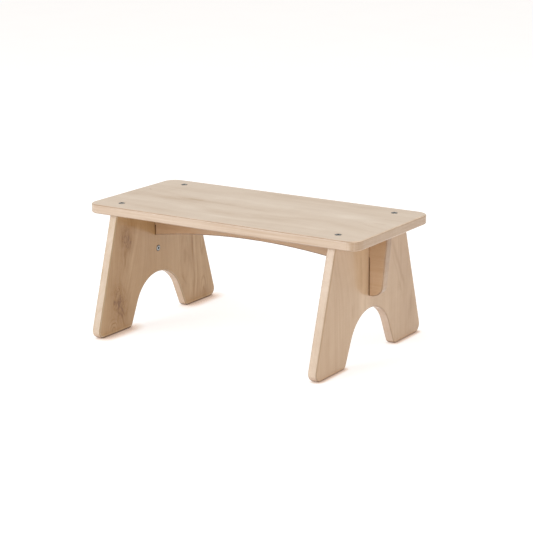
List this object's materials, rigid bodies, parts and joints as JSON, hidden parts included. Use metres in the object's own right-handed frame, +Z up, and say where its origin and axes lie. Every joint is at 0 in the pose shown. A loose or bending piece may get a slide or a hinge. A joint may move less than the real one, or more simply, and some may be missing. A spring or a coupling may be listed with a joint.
{
  "type": "low wooden bench",
  "caption": "Low solid-wood bench: rounded seat board screwed onto two A-shaped legs with arch cut-outs, tied by an arched stretcher lapped through the legs.",
  "frame": {"origin": "centre of the footprint, on the floor under the middle of the seat", "axes": "+X along the seat's length, +Y across it, +Z up"},
  "size_m": [0.6, 0.3816, 0.2509],
  "materials": {
    "seat_wood": "clear matte lacquer on pale maple, grain along the seat",
    "leg_wood": "clear matte lacquer on pale maple, grain upright",
    "stretcher_wood": "clear matte lacquer on pale maple, grain along the stretcher",
    "screw_steel": "bright zinc-plated steel",
    "insert_brass": "plain turned brass"
  },
  "bodies": {
    "root": {"seat_board": "seat_wood", "left_leg": "leg_wood", "right_leg": "leg_wood", "stretcher": "stretcher_wood", "seat_screws": "screw_steel", "leg_screws": "screw_steel", "leg_top_inserts": "insert_brass", "stretcher_inserts": "insert_brass"}
  },
  "joints": []
}
